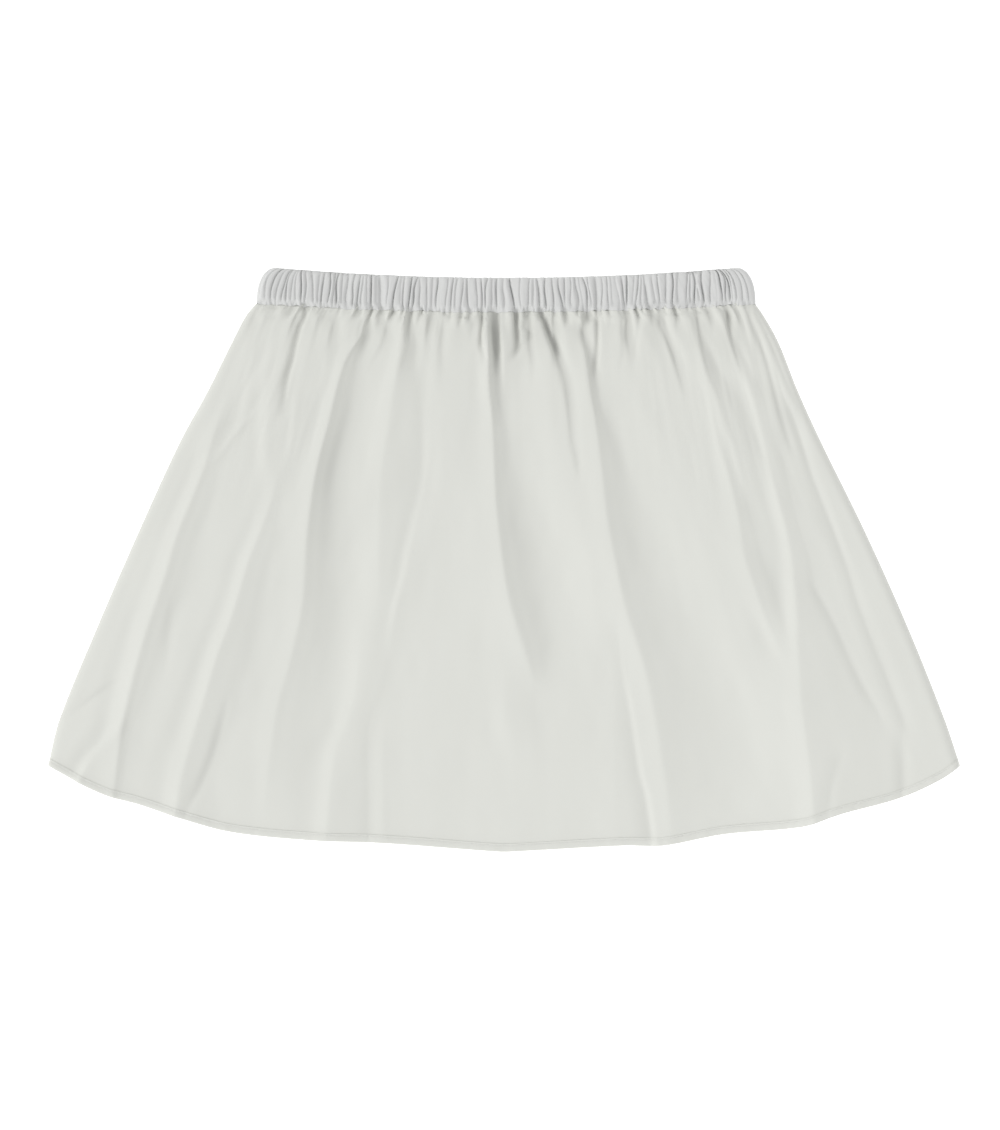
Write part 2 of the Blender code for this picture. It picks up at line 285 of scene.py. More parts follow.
FOLDS: tuple[Fold, ...] = (
    Fold("left_flap", (
        (122, -189, 0, 8, 4), (95, -200, 1.15, 12, 6), (65, -209, 1.95, 14, 10), (40, -219, 2.76, 18, 14),
        (15, -229, 3.1, 22, 16), (-10, -236, 3.22, 24, 16), (-40, -246.5, 3.22, 24, 15), (-75, -257, 3.22, 22, 14),
        (-100, -263, 3.22, 20, 11), (-120, -267.5, 2.53, 18, 7), (-165, -273, 1.38, 14, 5))),
    Fold("left_flap_foot", (
        (-108, -266, 0, 12, 5), (-120, -270, 1.0, 12, 5), (-130, -279, 1.8, 12, 8), (-140, -288, 2.4, 12, 16),
        (-150, -294, 2.8, 10, 21), (-160, -298, 2.8, 9, 25)), (2, 1)),
    Fold("left_outer", (
        (62, -158, 0, 10, 4), (40, -163, 0.95, 12, 6), (20, -170, 1.68, 12, 10), (0, -178, 2.31, 13, 14),
        (-20, -184, 2.84, 14, 17), (-40, -190, 3.15, 15, 20), (-65, -199.5, 3.36, 16, 22),
        (-90, -207, 3.57, 18, 24), (-110, -213, 3.57, 20, 24), (-130, -219, 3.46, 22, 22),
        (-150, -224.5, 3.36, 24, 22), (-170, -228, 3.36, 22, 27), (-192, -230, 3.15, 20, 28)), (2, 1.5)),
    Fold("left_deep", (
        (178, -96, 1.6, 8, 5.4), (165, -96.5, 2.0, 8, 5.4), (158, -99, 2.5, 8, 6), (148, -106, 3.2, 10, 8),
        (138, -111.5, 3.6, 12, 9.5), (120, -117, 4.5, 14, 11.5), (100, -121.8, 5.8, 16, 13.5),
        (80, -127, 6.97, 18, 14.2), (60, -132, 7.26, 20, 16.1), (45, -134.5, 7.26, 24, 18.8),
        (20, -137.5, 7.26, 26, 21.5), (0, -139, 5.91, 28, 21.5), (-20, -140, 5.67, 28, 22.8),
        (-40, -142.5, 5.17, 26, 24.2), (-60, -147, 4.68, 24, 24.2), (-80, -152, 4.31, 22, 25.6),
        (-100, -158, 3.94, 20, 26.9), (-120, -161, 3.45, 18, 26.9), (-140, -164, 2.46, 16, 26.9),
        (-165, -166, 1.11, 14, 26.9), (-185, -167, 0.25, 14, 26.9)), (2, 1.75), sink=0.68, recover=32),
    Fold("left_inner", (
        (178, -69, 3.6, 8, 4), (160, -70, 3.84, 8, 6), (150, -71, 3.6, 10, 8), (135, -74, 3.12, 12, 11),
        (120, -77, 2.88, 20, 16), (100, -80, 2.86, 28, 21), (80, -83, 3.0, 34, 24), (60, -86, 3.4, 40, 28),
        (45, -87, 3.4, 44, 27), (30, -88, 2.7, 40, 24), (10, -88, 1.56, 32, 16), (-10, -88, 0.72, 24, 9),
        (-30, -88, 0, 20, 8)), (2, 1.2), sink=0.35, recover=16),
    Fold("inner_ridge", (
        (118, -53, 0, 5, 12), (100, -52.5, 0.34, 5, 14), (75, -52, 0.61, 5, 16), (50, -55, 0.68, 5, 18),
        (30, -60, 0.75, 6, 18), (10, -64.5, 0.82, 6, 16), (-5, -67.5, 0.88, 5, 14), (-20, -71.5, 0.88, 4, 12),
        (-35, -75.5, 0.75, 4, 10), (-50, -78, 0.54, 5, 9), (-70, -80, 0.2, 6, 9), (-85, -82, 0, 6, 9)), (1.3, 2)),
    Fold("inner_hem", (
        (-35, -99, 0, 14, 16), (-60, -100, 0.7, 16, 19), (-90, -103, 1.4, 18, 18), (-110, -108, 1.5, 18, 13),
        (-130, -116, 2.2, 20, 19), (-150, -120, 2.6, 22, 23), (-170, -122, 2.9, 22, 26),
        (-199, -124, 3.0, 22, 28)), (2, 1.05), 1.6),
    Fold("inner_hem_ridge", (
        (-108, -84, 0, 9, 12), (-135, -85, 0.6, 10, 14), (-165, -84.5, 0.78, 10, 16),
        (-200, -84, 0.9, 10, 17)), (1.1, 2)),
    Fold("centre", (
        (178, -11.5, 6.16, 7, 8.6), (160, -11.5, 6.66, 8, 8.6), (140, -11, 5.92, 10, 8.6),
        (120, -10.8, 4.93, 12, 8.1), (105, -9, 3.94, 14, 7), (90, -8.2, 3.7, 18, 10.32), (60, -7, 4.31, 26, 15.6),
        (40, -6, 5.3, 32, 20.76), (20, -4, 6.16, 36, 23.28), (0, -1.5, 6.53, 38, 25.92), (-20, 1.5, 6.4, 38, 25.92),
        (-40, 6.5, 5.54, 36, 24.6), (-60, 13, 3.94, 32, 18.12), (-75, 18, 2.09, 26, 11.64),
        (-92, 22, 0, 20, 10.32)), (2, 1.9), sink=0.58, recover=36),
    Fold("centre_wall", (
        (178, -1.5, 4.4, 3.4, 24), (160, -1.5, 4.4, 3.4, 24), (145, -0.5, 2.9, 4.0, 18), (130, 0, 1.4, 4.5, 12),
        (112, 0, 0, 5, 10)), (1.2, 2)),
    Fold("centre_tail", (
        (-62, 0, 0, 20, 20), (-85, 1, 0.9, 20, 19), (-110, 1, 1.3, 20, 19), (-130, 5, 0.6, 18, 16),
        (-148, 8, 0, 16, 14)), (2, 1.1), 2.0),
    Fold("right_deep", (
        (178, 52, 0.66, 8, 4.6), (145, 57, 1.32, 12, 5.8), (120, 60, 2.43, 16, 5.8), (105, 62, 2.65, 20, 6.4),
        (90, 64, 3.19, 24, 12), (80, 65.5, 3.63, 26, 14.8), (60, 68, 4.41, 28, 20.1), (40, 70, 4.97, 30, 24.1),
        (20, 73, 5.41, 32, 26.8), (0, 77, 5.62, 34, 29.6), (-20, 81, 5.62, 36, 32.2), (-40, 86, 5.51, 36, 34.9),
        (-60, 93, 5.29, 36, 34.9), (-80, 99, 5.07, 36, 37.5), (-100, 103, 4.85, 34, 41.6),
        (-120, 107, 4.51, 32, 43), (-140, 110, 3.97, 30, 41.6), (-160, 113, 3.2, 36, 38.9),
        (-180, 115, 2.5, 38, 36.3), (-202, 117, 2.1, 40, 33.5)), (2, 1.9), 1.3, sink=0.5, recover=36),
    Fold("right_hem_crease", (
        (-42, 79, 0, 4, 2), (-60, 80, -0.2, 5, 2.5), (-80, 82, -0.45, 6, 3), (-100, 86, -0.7, 8, 3.5),
        (-120, 89, -0.9, 11, 4), (-150, 93.5, -1.2, 15, 4.5), (-165, 97.5, -1.4, 19, 5),
        (-202, 103, -1.6, 25, 5.5)), (1.1, 2), 1.2),
    Fold("right_first", (
        (152, 136.5, 0.8, 10, 4), (140, 139.5, 1.6, 12, 6), (130, 141.5, 2.1, 14, 9), (115, 147.5, 2.4, 16, 13),
        (100, 152, 2.5, 18, 17), (80, 159, 2.4, 18, 18), (60, 164, 1.7, 18, 17), (45, 167, 0.8, 16, 15),
        (30, 168, 0, 14, 14)), (2, 1.3), 1.4, sink=0.3, recover=20),
    Fold("right_inner", (
        (122, 142, 0, 5, 3), (105, 145, 0.6, 6, 4), (80, 150, 0.8, 8, 5), (60, 156, 1.0, 10, 6),
        (40, 161, 1.3, 14, 8), (20, 165, 1.5, 16, 10), (0, 168, 1.7, 18, 12), (-20, 175, 1.7, 18, 13),
        (-40, 182, 1.4, 16, 12), (-58, 190, 0.7, 12, 9), (-72, 195, 0, 10, 8)), (2, 1.3)),
    Fold("right_outer", (
        (152, 160, 0.6, 8, 3), (135, 166, 1.2, 8, 4), (120, 171, 1.5, 9, 7), (100, 177, 1.5, 10, 9),
        (80, 182, 1.5, 10, 10), (60, 186.5, 1.6, 10, 10), (40, 191.5, 1.6, 10, 9), (20, 197, 1.6, 10, 9),
        (0, 200.5, 2, 12, 12), (-20, 202.5, 2.8, 15.4, 14), (-40, 204, 3.6, 23.4, 24), (-60, 204.5, 4.2, 33, 33),
        (-80, 206, 4.7, 41.6, 40), (-100, 207, 5.2, 44.8, 50), (-115, 209, 5.4, 44.8, 56),
        (-130, 211, 5.5, 44.8, 62), (-150, 213.5, 5.6, 41.6, 63), (-187, 216, 5.4, 38.4, 62)), (2, 1.15)),
    Fold("right_flap", (
        (178, 163, -0.18, 5, 4.5), (160, 174, -0.28, 6, 4.5), (147, 181, -0.37, 7, 4.5), (130, 190, -0.56, 8, 6),
        (115, 195, -1.09, 10, 6), (100, 202, -1.39, 13, 7.5), (80, 208, -1.44, 15, 7.5), (60, 214, -1.29, 13, 7.5),
        (42, 221, -1.14, 11, 7.5), (25, 228, -1.04, 10, 6), (5, 235.5, -0.94, 9, 6), (-10, 240.5, -0.94, 9, 7.5),
        (-30, 246.5, -0.94, 9, 9), (-50, 254, -0.94, 8, 10.5), (-80, 266, -0.94, 8, 12), (-95, 272, -0.94, 8, 12),
        (-110, 278, -0.79, 8, 12), (-122, 282, -0.34, 6, 9), (-134, 284, 0, 5, 7.5)), (1.5, 2), 0.6),
    Fold("right_flap_branch", (
        (-12, 210, 0, 4.8, 3.9), (-25, 219, -0.3, 6, 5.2), (-45, 230, -0.48, 7.2, 5.2), (-68, 240, -0.54, 7.2, 6.5),
        (-90, 251, -0.54, 7.2, 6.5), (-105, 260, -0.36, 6, 6.5), (-120, 266, 0, 6, 6.5)), (1.5, 2), 0.6),
    Fold("right_hem_edge", (
        (-104, 277, 0, 6, 5), (-125, 277.5, -0.54, 7, 6), (-145, 278, -0.84, 8, 8),
        (-168, 278, -0.84, 8, 8)), (1.5, 2), 1.2),
    Fold("right_hem_pocket", (
        (-126, 238, 0, 6, 4), (-140, 233, -0.4, 7, 5), (-155, 228, -0.65, 8, 5), (-172, 226, -0.75, 9, 6),
        (-182, 225, -0.8, 9, 6)), (1.6, 2), 1.4),
    Fold("left_short", (
        (122, -161, 0, 8, 10), (110, -164, 1.0, 10, 13), (90, -166, 1.5, 10, 14), (70, -166, 1.1, 10, 13),
        (55, -163, 0.4, 10, 10), (42, -161, 0, 10, 8)), (2, 1.1), 1.5),
    Fold("left_short_ridge", (
        (120, -144, 0, 3, 7), (105, -145, 0.6, 4, 8), (90, -146.5, 0.8, 4, 8), (78, -149, 0.7, 4, 8),
        (68, -152, 0.3, 4, 7), (58, -154, 0, 4, 6)), (1.3, 2)),
    Fold("left_slant", (
        (108, -172, 0, 4, 3), (100, -177, 0.6, 5, 3), (88, -187, 0.8, 5, 3), (78, -195, 0.8, 5, 3),
        (70, -203, 0.6, 5, 3), (65, -209, 0, 5, 3))),
)

FURROWS: tuple[Furrow, ...] = (
    Furrow("centre_hollow", (
        (178, -7.2, 5.6, 3.2, 3.0), (168, -7.2, 5.4, 3.6, 3.2), (152, -6.8, 3.6, 3.6, 3.2),
        (141, -6.5, 1.8, 3.2, 3.2), (126, -7, 0, 3, 3)), 0.0),
    Furrow("left_short", (
        (178, -139.3, 1.2, 1.5, 1.5), (170, -139.3, 1.3, 1.5, 1.5), (163, -142.5, 1.5, 2, 1.6),
        (150, -146, 1.9, 3, 1.8), (140, -148, 2.0, 3.4, 1.8), (130, -151, 1.8, 3.4, 1.8), (120, -153, 1.5, 3.4, 2),
        (108, -154, 1.0, 3, 2), (98, -155, 0, 3, 2))),
    Furrow("left_deep_top", (
        (178, -95, 0.5, 1.5, 3.6), (160, -96.5, 0.6, 1.5, 4), (146, -104, 0.5, 1.5, 5), (136, -109, 0, 2, 6))),
    Furrow("left_between", (
        (178, -78, 1.32, 1.3, 3.2), (165, -81, 1.32, 1.4, 3.6), (152, -84, 0.88, 1.6, 4), (138, -91, 0.33, 2, 4),
        (128, -94, 0, 2, 4))),
    Furrow("left_inner_top", (
        (178, -66, 0.4, 1.8, 4.4), (158, -67, 1.5, 2, 6), (150, -66, 1.32, 2.4, 6.4), (136, -69, 0.77, 3, 6),
        (128, -71, 0, 3, 6))),
    Furrow("centre_left_faint", (
        (178, -41, 1.43, 1.4, 3.6), (162, -42.5, 1.32, 1.5, 4), (146, -44, 0.88, 1.6, 4.4), (120, -42.5, 0, 2, 4))),
    Furrow("centre_short_left", (
        (178, -15.2, 2.4, 1.5, 1.5), (168, -15.2, 2.8, 1.5, 1.5), (152, -16, 2.6, 1.6, 1.6),
        (144, -14.5, 1.0, 1.6, 1.6), (134, -13, 0, 1.6, 1.6))),
    Furrow("centre_short_right", (
        (178, 8.2, 3.6, 1.6, 1.6), (165, 8.6, 4.0, 1.9, 1.7), (152, 9.6, 3.2, 2.2, 1.8), (145, 8.5, 0.8, 2.2, 2.2),
        (138, 7, 0, 2, 2))),
    Furrow("centre_puff", (
        (175, 17, 1.3, 1.4, 1.8), (163, 15, 0.8, 1.6, 2), (156, 18, 0.7, 2, 2.4), (150, 12, 0.9, 2.4, 2.4),
        (143, 7, 0.9, 3, 2.4), (138, 2, 0, 3, 2.4))),
    Furrow("centre_right", (
        (178, 23, 3.6, 1.6, 3.0), (165, 28.5, 4.6, 1.9, 3.4), (152, 33.5, 4.4, 2.2, 4.0), (140, 38, 2.2, 2.4, 5.6),
        (125, 43, 1.6, 2.4, 5.8), (115, 44.5, 1.54, 2, 5.2), (100, 46.5, 1.1, 2, 5.2), (80, 48.5, 0.77, 2, 6),
        (58, 53, 0, 2, 6))),
    Furrow("centre_right_low", (
        (80, 50, 0, 2, 2.4), (68, 51.5, 0.5, 2, 2.6), (55, 53, 0, 2, 2.4))),
    Furrow("right_deep_a", (
        (178, 51, 1.76, 1.5, 3.6), (170, 55.5, 2.42, 1.8, 4), (158, 55.5, 2.86, 1.8, 4.4), (145, 58.5, 2.3, 2, 5.2),
        (130, 61, 1.5, 2.2, 6), (115, 62.5, 0.7, 2, 4.8), (100, 65, 0, 2, 4))),
    Furrow("right_deep_b", (
        (178, 63.5, 1.8, 1.5, 1.5), (165, 65, 2.0, 1.6, 1.6), (150, 65.3, 1.8, 1.7, 1.6), (138, 64, 1.4, 2, 1.6),
        (126, 63, 0, 2, 1.6))),
    Furrow("right_faint_a", (
        (178, 84, 0.4, 1.6, 3.6), (165, 83, 1.1, 1.6, 4.4), (148, 84, 0.77, 2, 6), (130, 81, 0, 2, 6))),
    Furrow("right_faint_b", (
        (178, 91, 0.4, 1.4, 2.0), (165, 94, 0.6, 1.6, 2.2), (150, 92, 0.5, 1.6, 2), (132, 90, 0, 2, 2))),
    Furrow("right_faint_c", (
        (176, 107, 1.5, 1.5, 4), (165, 109.5, 1.9, 1.6, 4.4), (155, 113.5, 1.98, 1.8, 5.2),
        (145, 117.5, 1.98, 2, 5.6), (135, 121, 1.43, 2, 5.6), (125, 124, 0.88, 2, 4.8), (112, 128, 0, 2, 4))),
    Furrow("right_first_top", (
        (178, 133.3, 1.87, 1.5, 3.4), (165, 135.8, 1.98, 1.5, 4), (150, 138.5, 1.76, 1.8, 5.2),
        (138, 141.5, 1.32, 2, 6.8), (124, 146, 0.55, 2.4, 8), (112, 152, 0, 3, 8))),
    Furrow("right_outer_top", (
        (178, 156, 1.98, 1.5, 3.4), (163, 157, 2.2, 1.6, 4), (152, 159.5, 1.76, 1.6, 4.4),
        (138, 164.5, 0.99, 1.8, 5.2), (124, 170, 0, 2, 6))),
    Furrow("right_edge_a", (
        (170, 172, 0.5, 1.5, 2), (150, 180, 0.7, 1.6, 2), (125, 187, 0.8, 2, 2), (105, 192, 0.9, 2, 2.4),
        (85, 198, 0.6, 2.4, 2.4), (72, 203, 0, 2, 2))),
    Furrow("right_edge_b", (
        (172, 176, 0.5, 1.4, 1.8), (150, 187, 0.6, 1.6, 2), (130, 195, 0.7, 1.6, 2), (112, 203, 0.5, 2, 2),
        (96, 210, 0, 2, 2))),
    Furrow("left_edge", (
        (-82, -268, 0, 3, 3), (-92, -283, 0.7, 3.5, 3), (-102, -296, 0.9, 3.5, 3), (-112, -309, 0.4, 3, 3),
        (-120, -316, 0, 3, 3)), 0.0),
    Furrow("left_plane", (
        (-18, -231, 0, 2.5, 2.5), (-40, -234, 0.35, 3, 3), (-70, -236, 0.3, 3, 4), (-88, -240, 0, 3, 3)), 0.0),
    Furrow("outer_plane", (
        (-92, -193, 0, 3, 3), (-112, -197, 0.7, 3.5, 3), (-140, -205, 0.9, 3.5, 3), (-158, -213, 1.0, 4, 3),
        (-172, -220, 0.8, 4, 3), (-182, -224, 0.4, 4, 3)), 0.0),
)


@dataclass(frozen=True)
class Gather:
    """One furrow across the waistband, from its lower edge (x_low) to its upper one (x_high), in mm."""

    x_low: float
    x_high: float
    depth: float
    reach: float = 0.55


BAND_GATHERS: tuple[Gather, ...] = tuple(Gather(*row) for row in (
    (-170.6, -170.6, 0.12), (-166.6, -167.4, 0.2), (-162.7, -163.6, 0.6), (-159.2, -159.6, 0.45),
    (-155.5, -155, 0.6), (-152.3, -152.6, 0.7), (-149, -147.4, 0.35), (-141.9, -142.1, 0.9), (-139.5, -138.6, 0.5),
    (-132.5, -134.5, 0.4), (-128.2, -124.7, 0.9), (-123.8, -121, 0.8), (-117.6, -114.8, 1.0),
    (-110, -109, 0.5, 1.4), (-106.9, -103.8, 0.6), (-103.3, -99.8, 0.8), (-99.8, -98, 0.4), (-93.1, -92.4, 1.0),
    (-85.9, -87.3, 1.1, 1.7), (-78.1, -73.4, 1.0), (-70.5, -69.2, 0.6), (-67.4, -63.8, 0.9), (-64.7, -59.6, 0.9),
    (-58.5, -59, 0.5), (-50.5, -50, 0.5, 1.6), (-47.1, -46, 0.7), (-37.1, -35, 0.6), (-30.4, -28.2, 0.6),
    (-24.5, -25.6, 0.6), (-15.5, -16, 0.9), (-12.8, -11, 0.5), (-4.8, -4.8, 0.8), (0, 0, 0.6, 1.2), (7.7, 3.5, 0.9),
    (16.8, 18.2, 0.5), (24.7, 22.4, 0.9, 1.2), (29.6, 28.5, 0.9), (34.4, 33.3, 0.6), (41.3, 38, 0.9),
    (43.1, 42.2, 0.6), (51.4, 49.3, 0.7, 1.3), (58.5, 54.3, 0.9), (64.3, 63.5, 0.8, 1.3), (85.1, 81.5, 0.7),
    (85.8, 85.5, 0.9), (91.6, 94, 0.7), (100.9, 97.6, 0.8, 1.4), (109.2, 107, 0.6), (117.6, 117.1, 0.8),
    (128.5, 128.2, 0.6), (133.7, 131.7, 1.0), (140.2, 137.9, 0.9), (144.9, 144, 0.4), (152.8, 152.2, 1.0),
    (156.4, 155.4, 0.7), (158.4, 157.1, 0.9), (160.3, 160.6, 0.5), (162.4, 163, 0.35), (166.4, 167.6, 0.15),
    (171, 170.4, 0.2),
))


@dataclass(frozen=True)
class GatherComb:
    """The small furrows below the waistband: one under each gather of the band, and more between them."""

    seed: int = 11
    shortest: float = 7.0
    longest: float = 44.0
    depth: float = 3.6
    reach: float = 1.0
    extra: int = 46
    sides: float = 0.6
    spread: float = 8.0
    soft: tuple[float, float] = (1.8, 3.6)
    under_band: bool = True

    def relief(self, across: Array, down: Array, outline: Outline) -> Array:
        """Give the furrows' height at points of the panel.

        Args:
            across: Places across the panel.
            down: Places down the panel.
            outline: The plan, for the panel's width and length.

        Returns:
            Heights in mm, mostly below 0.
        """
        random = np.random.default_rng(self.seed)
        half = outline.half_width(across, down)
        below = np.maximum(down, 0.0) * outline.length
        starts = [(gather.x_low / outline.band_half, 0.5 + 0.5 * gather.depth) for gather in BAND_GATHERS
                  if self.under_band]
        starts += [(random.uniform(-0.97, 0.97), random.uniform(0.35, 0.8)) for _ in range(self.extra)]
        total = np.zeros_like(across)
        for start, strength in starts:
            length = self.shortest + (self.longest - self.shortest) * random.uniform(0.0, 1.0) ** 2.6
            drift = random.normal(0.0, 0.008) - 0.04 * start
            bend, phase = random.normal(0.0, 0.0022), random.uniform(0.0, 6.0)
            depth = self.depth * strength * random.uniform(0.4, 1.15)
            depth *= 1.0 - (1.0 - self.sides) * float(np.clip((abs(start) - 0.45) / 0.3, 0.0, 1.0))
            sharp = self.reach * random.uniform(0.75, 1.2)
            soft = sharp * random.uniform(*self.soft)
            left, right = (sharp, soft) if random.uniform() < 0.8 else (soft, sharp)
            share = np.clip(below / length, 0.0, 1.5)
            path = drift * share * (length / 40.0) + bend * (np.sin(below / 5.0 + phase) - math.sin(phase))
            offset = (across - start - path) * half
            fade = ease((1.5 - share) / 1.1) * np.exp(-0.8 * share * share)
            wider = 1.0 + 1.2 * share
            hollow = bump(offset, left * wider, right * wider)
            beside = (left + right) * 0.5 / self.spread * bump(offset, self.spread * wider, self.spread * wider)
            total -= depth * fade * (hollow - beside)
        return total


@dataclass(frozen=True)
class FrontRelief:
    """The height of the front panel's outer face over the floor, in mm."""

    outline: Outline
    base: float = 1.05
    crown_waist: float = 3.6
    crown_body: float = 4.4
    left_slope: float = 0.62
    deepest: float = -1.35
    edge_width: float = 6.0
    hem_lift: float = 1.0
    seam_hold: float = 0.85
    comb: GatherComb = GatherComb()
    teeth: GatherComb = GatherComb(seed=23, shortest=2.5, longest=11.0, depth=1.9, reach=0.55, extra=110, sides=0.9,
                                   spread=4.0, soft=(1.2, 2.4), under_band=False)

    def height(self, across: Array, down: Array) -> Array:
        """Give the height of the outer face at points of the panel."""
        x, y = self.outline.skirt(across, np.maximum(down, 0.0))
        below = down * self.outline.length
        folds = sum(fold.relief(x, y) for fold in FOLDS)
        folds = folds * (self.seam_hold + (1.0 - self.seam_hold) * ease(below / 16.0))
        crown = self.crown_waist + (self.crown_body - self.crown_waist) * ease(below / 22.0)
        inward = (1.0 + across) * self.outline.half_width(across, down)
        relief = crown * (1.0 - self.left_slope * np.exp(-(inward / 38.0) ** 2)) + folds
        relief = relief + sum(furrow.relief(x, y) for furrow in FURROWS)
        small = self.comb.relief(across, down, self.outline) + self.teeth.relief(across, down, self.outline)
        relief = relief + np.maximum(small, self.deepest * np.tanh(small / self.deepest)) + self.puffs(across, below)
        relief = relief + 0.4 * soft_noise(across, down, (22, 5), 3) * ease(down / 0.25)
        relief = relief + 0.14 * soft_noise(across, down, (64, 18), 4) + self.crumple(across, down)
        relief = 0.5 * (relief + np.sqrt(relief * relief + 0.6))
        foot = self.base + self.hem_lift * ease((10.0 - (self.outline.length - below)) / 10.0)
        return foot + relief * self.side_roll(across, down)

    def crumple(self, across: Array, down: Array) -> Array:
        """Give the fine slanting wrinkles of the upper third, strongest towards the side seams."""
        place = ease((np.abs(across) - 0.35) / 0.45) * np.exp(-((down - 0.17) / 0.17) ** 2)
        slant = across * (1.0 + 0.18 * down)
        return place * (0.42 * soft_noise(slant, down, (74, 9), 41) + 0.2 * soft_noise(slant, down, (150, 22), 42))

    def puffs(self, across: Array, below: Array) -> Array:
        """Give the small puffs that stand between the gathers just below the seam."""
        row = np.clip(below / 60.0, 0.0, 1.0)
        fade = ease(below / 4.0) * np.exp(-(below / 15.0) ** 2)
        dimple = -0.35 * np.maximum(soft_noise(across, row, (150, 14), 15), 0.0) * np.exp(-((below - 1.2) / 1.6) ** 2)
        return fade * (0.35 * soft_noise(across, row, (88, 7), 13) + 0.3) + dimple

    def side_roll(self, across: Array, down: Array) -> Array:
        """Bring the relief down to nothing round the folded edge at each side seam."""
        inward = (1.0 - np.abs(across)) * self.outline.half_width(across, down)
        share = np.clip(inward / self.edge_width, 0.0, 1.0)
        return (share * (2.0 - share)) ** 0.6


# ----------------------------------------------------------------------------------------------------
# Meshes
# ----------------------------------------------------------------------------------------------------

def cloth_mesh(name: str, x: Array, y: Array, z: Array, u: Array, v: Array, thickness: float,
               crease: Array | None = None) -> bpy.types.Object:
    """Shape a grid into a sheet of cloth and give it its thickness below its outer face.

    Args:
        name: The piece's name.
        x: Plan x of each grid point, in mm, as rows from the far end to the near one.
        y: Plan y of each grid point, in mm.
        z: Height of the outer face, in mm.
        u: Pattern coordinate across the cut, in mm.
        v: Pattern coordinate along the cut, in mm.
        thickness: The cloth's thickness, in mm. A negative one is laid above the face.
        crease: How much painted shade each point gets, from 0 to 1, mostly how deep it lies in a crease, written as
            the attribute "crease".

    Returns:
        The new object, linked to the scene.
    """
    rows, columns = x.shape
    grid = bmesh.new()
    bmesh.ops.create_grid(grid, x_segments=columns - 1, y_segments=rows - 1, size=1.0)
    data = bpy.data.meshes.new(name)
    grid.to_mesh(data)
    grid.free()
    flat = np.empty(len(data.vertices) * 3)
    data.vertices.foreach_get("co", flat)
    flat = flat.reshape(-1, 3)
    column = np.rint((flat[:, 0] + 1.0) / 2.0 * (columns - 1)).astype(int)
    row = np.rint((1.0 - flat[:, 1]) / 2.0 * (rows - 1)).astype(int)
    placed = np.stack([x[row, column], y[row, column], z[row, column]], axis=1) * MM
    data.vertices.foreach_set("co", placed.ravel())
    corner = np.empty(len(data.loops), dtype=np.int64)
    data.loops.foreach_get("vertex_index", corner)
    pattern = np.stack([u[row, column], v[row, column]], axis=1)[corner] * MM
    layer = data.uv_layers.new(name="cut") if not data.uv_layers else data.uv_layers[0]
    layer.data.foreach_set("uv", pattern.ravel())
    depth = np.zeros_like(x) if crease is None else crease
    data.attributes.new("crease", "FLOAT", "POINT").data.foreach_set("value", depth[row, column])
    data.shade_smooth()
    data.update()
    piece = bpy.data.objects.new(name, data)
    bpy.context.scene.collection.objects.link(piece)
    wall = piece.modifiers.new("cloth", "SOLIDIFY")
    wall.thickness = thickness * MM
    wall.offset = -1.0
    return piece


def even_columns(x: Array, z: Array, places: Array, count: int, pull: float) -> Array:
    """Spread grid columns so that they crowd where the cloth is steep.

    Args:
        x: Plan x on a fine grid, in mm.
        z: Height on the same grid, in mm.
        places: The across value of each fine column.
        count: How many columns to lay.
        pull: How strongly steepness draws columns together.

    Returns:
        The across value of each new column, row by row.
    """
    step = np.hypot(np.diff(x, axis=1), pull * np.diff(z, axis=1))
    padded = np.pad(step, ((4, 4), (0, 0)), mode="edge")
    step = sum(padded[k:k + step.shape[0]] for k in range(9)) / 9.0
    walked = np.concatenate([np.zeros((step.shape[0], 1)), np.cumsum(step, axis=1)], axis=1)
    walked /= walked[:, -1:]
    wanted = np.linspace(0.0, 1.0, count)
    return np.stack([np.interp(wanted, row, places) for row in walked])


# ----------------------------------------------------------------------------------------------------
# Finishes
# ----------------------------------------------------------------------------------------------------

class Weave(Enum):
    """How closely a cloth is woven, as the pitch of its threads in mm."""

    POPLIN = 0.42
    CASING = 0.40


